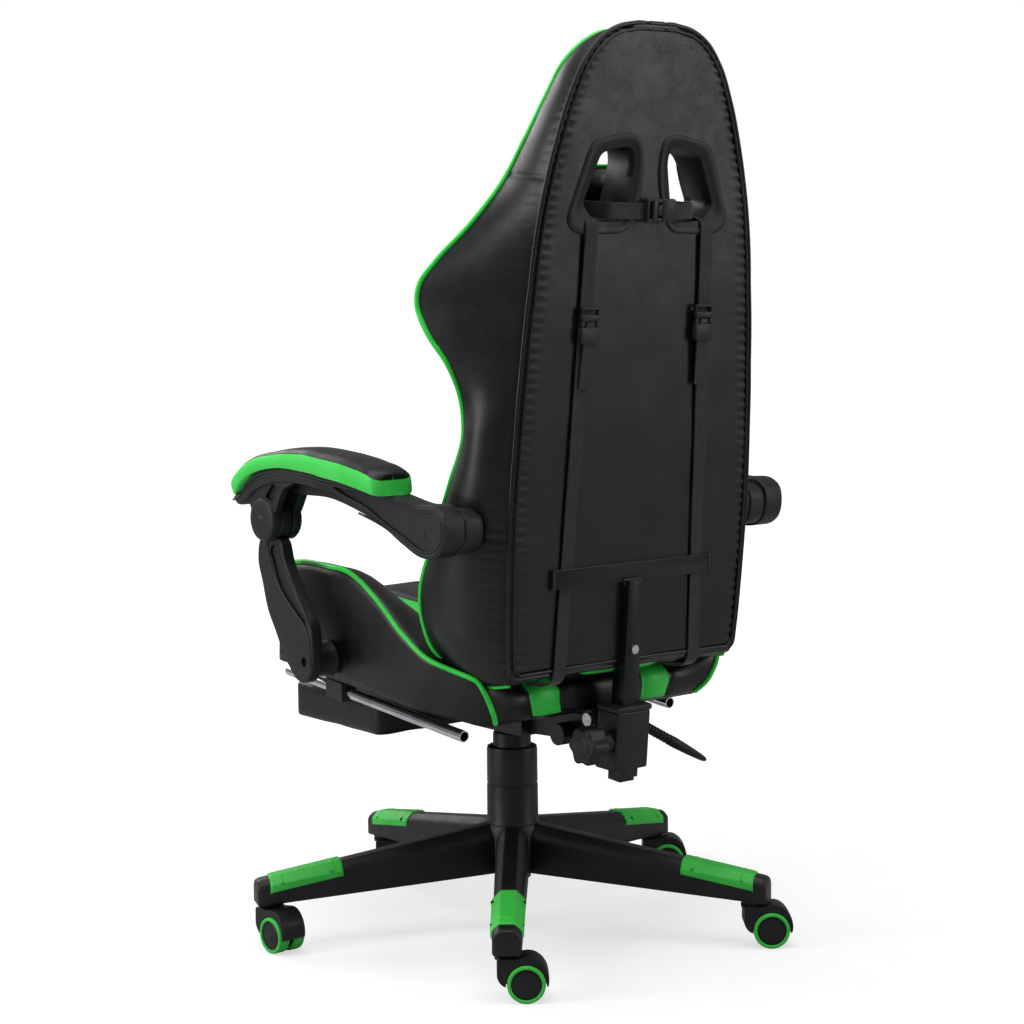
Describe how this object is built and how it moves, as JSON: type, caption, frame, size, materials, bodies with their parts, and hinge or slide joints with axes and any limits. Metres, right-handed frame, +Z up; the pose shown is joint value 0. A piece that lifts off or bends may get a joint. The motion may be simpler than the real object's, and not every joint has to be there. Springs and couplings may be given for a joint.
{
  "type": "gaming chair",
  "caption": "Racing-style swivel chair: reclining winged back with cushions, linked armrests, slide-out flip footrest, gas lift and star base on twin-wheel casters.",
  "frame": {"origin": "point on the floor under the axis of the gas lift", "axes": "+Z up along the gas lift, -Y the way the sitter faces, +X to the sitter's left"},
  "size_m": [0.7474, 0.7182, 1.2478],
  "materials": {
    "black_nylon": "moulded glass-filled nylon, satin",
    "green_plastic": "moulded, satin",
    "black_steel": "powder coated",
    "chrome": "chromed tube",
    "zinc_steel": "zinc plated",
    "black_plastic": "moulded, fine texture",
    "black_leather": "embossed synthetic leather",
    "green_leather": "embossed synthetic leather",
    "webbing": "woven webbing"
  },
  "bodies": {
    "base": {"star_base": "black_nylon", "leg_caps": "green_plastic", "gas_cylinder": "black_steel", "lower_cover": "black_nylon"},
    "lift": {"gas_piston": "chrome", "upper_cover": "black_nylon"},
    "gas_valve": {"gas_button": "chrome"},
    "seat": {"mechanism": "black_steel", "mechanism_plate": "black_steel", "seat_bolts": "zinc_steel", "recline_pin": "zinc_steel", "seat_pan": "black_steel", "seat_cushion": "black_leather", "seat_bolsters": "black_leather", "rail_guides": "black_plastic", "link_brackets": "black_plastic"},
    "height_lever": {"height_lever": "black_steel", "lever_grip": "black_plastic"},
    "footrest_slide": {"footrest_rails": "chrome"},
    "footrest_flap": {"footrest_pad": "black_leather", "footrest_hinges": "black_steel"},
    "backrest": {"back_frame": "black_steel", "back_boot": "black_plastic", "back_core": "black_leather", "back_pad": "black_leather", "back_wings": "black_leather", "head_bezels": "black_plastic", "headrest_pillow": "black_leather", "lumbar_pillow": "black_leather", "pillow_straps": "webbing", "strap_buckles": "black_plastic", "arm_spacers": "black_plastic", "back_bolts": "zinc_steel"},
    "clamp_knob": {"clamp_knob": "black_plastic"},
    "arm_left": {"arm_left": "black_plastic", "arm_pad_left": "green_leather"},
    "link_left": {"arm_link_left": "black_plastic"},
    "arm_right": {"arm_right": "black_plastic", "arm_pad_right": "green_leather"},
    "link_right": {"arm_link_right": "black_plastic"},
    "caster_1": {"caster_hood_1": "black_nylon", "caster_pins_1": "zinc_steel"},
    "wheel_1a": {"caster_wheel_1a": "black_nylon"},
    "wheel_1b": {"caster_wheel_1b": "black_nylon"},
    "caster_2": {"caster_hood_2": "black_nylon", "caster_pins_2": "zinc_steel"},
    "wheel_2a": {"caster_wheel_2a": "black_nylon"},
    "wheel_2b": {"caster_wheel_2b": "black_nylon"},
    "caster_3": {"caster_hood_3": "black_nylon", "caster_pins_3": "zinc_steel"},
    "wheel_3a": {"caster_wheel_3a": "black_nylon"},
    "wheel_3b": {"caster_wheel_3b": "black_nylon"},
    "caster_4": {"caster_hood_4": "black_nylon", "caster_pins_4": "zinc_steel"},
    "wheel_4a": {"caster_wheel_4a": "black_nylon"},
    "wheel_4b": {"caster_wheel_4b": "black_nylon"},
    "caster_5": {"caster_hood_5": "black_nylon", "caster_pins_5": "zinc_steel"},
    "wheel_5a": {"caster_wheel_5a": "black_nylon"},
    "wheel_5b": {"caster_wheel_5b": "black_nylon"}
  },
  "joints": [
    {"name": "caster_swivel_1", "type": "hinge", "parent": "base", "child": "caster_1", "pos_m": [0.2231, 0.26968, 0.07], "axis": [0, 0, 1], "continuous": true},
    {"name": "wheel_spin_1a", "type": "hinge", "parent": "caster_1", "child": "wheel_1a", "pos_m": [0.20421, 0.28449, 0.025], "axis": [-0.617, -0.7869, 0], "continuous": true},
    {"name": "wheel_spin_1b", "type": "hinge", "parent": "caster_1", "child": "wheel_1b", "pos_m": [0.20421, 0.28449, 0.025], "axis": [-0.617, -0.7869, 0], "continuous": true},
    {"name": "caster_swivel_2", "type": "hinge", "parent": "base", "child": "caster_2", "pos_m": [-0.18754, 0.29552, 0.07], "axis": [0, 0, 1], "continuous": true},
    {"name": "wheel_spin_2a", "type": "hinge", "parent": "caster_2", "child": "wheel_2a", "pos_m": [-0.20643, 0.31032, 0.025], "axis": [-0.617, -0.7869, 0], "continuous": true},
    {"name": "wheel_spin_2b", "type": "hinge", "parent": "caster_2", "child": "wheel_2b", "pos_m": [-0.20643, 0.31032, 0.025], "axis": [-0.617, -0.7869, 0], "continuous": true},
    {"name": "caster_swivel_3", "type": "hinge", "parent": "base", "child": "caster_3", "pos_m": [-0.339, -0.08704, 0.07], "axis": [0, 0, 1], "continuous": true},
    {"name": "wheel_spin_3a", "type": "hinge", "parent": "caster_3", "child": "wheel_3a", "pos_m": [-0.35789, -0.07223, 0.025], "axis": [-0.617, -0.7869, 0], "continuous": true},
    {"name": "wheel_spin_3b", "type": "hinge", "parent": "caster_3", "child": "wheel_3b", "pos_m": [-0.35789, -0.07223, 0.025], "axis": [-0.617, -0.7869, 0], "continuous": true},
    {"name": "caster_swivel_4", "type": "hinge", "parent": "base", "child": "caster_4", "pos_m": [-0.02198, -0.34931, 0.07], "axis": [0, 0, 1], "continuous": true},
    {"name": "wheel_spin_4a", "type": "hinge", "parent": "caster_4", "child": "wheel_4a", "pos_m": [-0.04086, -0.3345, 0.025], "axis": [-0.617, -0.7869, 0], "continuous": true},
    {"name": "wheel_spin_4b", "type": "hinge", "parent": "caster_4", "child": "wheel_4b", "pos_m": [-0.04086, -0.3345, 0.025], "axis": [-0.617, -0.7869, 0], "continuous": true},
    {"name": "caster_swivel_5", "type": "hinge", "parent": "base", "child": "caster_5", "pos_m": [0.32542, -0.12884, 0.07], "axis": [0, 0, 1], "continuous": true},
    {"name": "wheel_spin_5a", "type": "hinge", "parent": "caster_5", "child": "wheel_5a", "pos_m": [0.32458, -0.10486, 0.025], "axis": [-0.9994, -0.0349, 0], "continuous": true},
    {"name": "wheel_spin_5b", "type": "hinge", "parent": "caster_5", "child": "wheel_5b", "pos_m": [0.32458, -0.10486, 0.025], "axis": [-0.9994, -0.0349, 0], "continuous": true},
    {"name": "lift_slide", "type": "slide", "parent": "base", "child": "lift", "axis": [0, 0, 1], "range_m": [0, 0.08]},
    {"name": "valve_press", "type": "slide", "parent": "lift", "child": "gas_valve", "axis": [0, 0, 1], "range_m": [-0.0036, 0]},
    {"name": "seat_swivel", "type": "hinge", "parent": "lift", "child": "seat", "pos_m": [0, 0, 0.3], "axis": [0, 0, 1], "continuous": true},
    {"name": "lever_lift", "type": "hinge", "parent": "seat", "child": "height_lever", "pos_m": [-0.04712, 0.00916, 0.3286], "axis": [0.1908, 0.9816, 0], "range_deg": [0, 4], "stiffness_Nm_per_rad": 20, "springref_deg": -2.86},
    {"name": "footrest_slide", "type": "slide", "parent": "seat", "child": "footrest_slide", "axis": [0, -0.9965, 0.0833], "range_m": [0, 0.25]},
    {"name": "footrest_flip", "type": "hinge", "parent": "footrest_slide", "child": "footrest_flap", "pos_m": [0, -0.291, 0.35228], "axis": [-1, 0, 0], "range_deg": [0, 180]},
    {"name": "recline", "type": "hinge", "parent": "seat", "child": "backrest", "pos_m": [0, 0.205, 0.331], "axis": [-1, 0, 0], "range_deg": [0, 35]},
    {"name": "knob_turn", "type": "hinge", "parent": "backrest", "child": "clamp_knob", "pos_m": [0.06, 0.244, 0.306], "axis": [1, 0, 0], "range_deg": [0, 180]},
    {"name": "arm_tilt_left", "type": "hinge", "parent": "backrest", "child": "arm_left", "pos_m": [0.278, 0.205, 0.6], "axis": [1, 0, 0], "range_deg": [-1, 30.62]},
    {"name": "link_swing_left", "type": "hinge", "parent": "seat", "child": "link_left", "pos_m": [0.293, -0.089, 0.402], "axis": [-1, 0, 0], "range_deg": [-1, 47.2]},
    {"name": "arm_tilt_right", "type": "hinge", "parent": "backrest", "child": "arm_right", "pos_m": [-0.278, 0.205, 0.6], "axis": [1, 0, 0], "range_deg": [-1, 30.62]},
    {"name": "link_swing_right", "type": "hinge", "parent": "seat", "child": "link_right", "pos_m": [-0.293, -0.089, 0.402], "axis": [-1, 0, 0], "range_deg": [-1, 47.2]}
  ],
  "couplings": [
    {"joint": "valve_press", "follows": "lever_lift", "m_per_rad": -0.048},
    {"joint": "arm_tilt_left", "follows": "recline", "ratio": 0.8319},
    {"joint": "link_swing_left", "follows": "recline", "ratio": 1.3058},
    {"joint": "arm_tilt_right", "follows": "recline", "ratio": 0.8319},
    {"joint": "link_swing_right", "follows": "recline", "ratio": 1.3058}
  ]
}
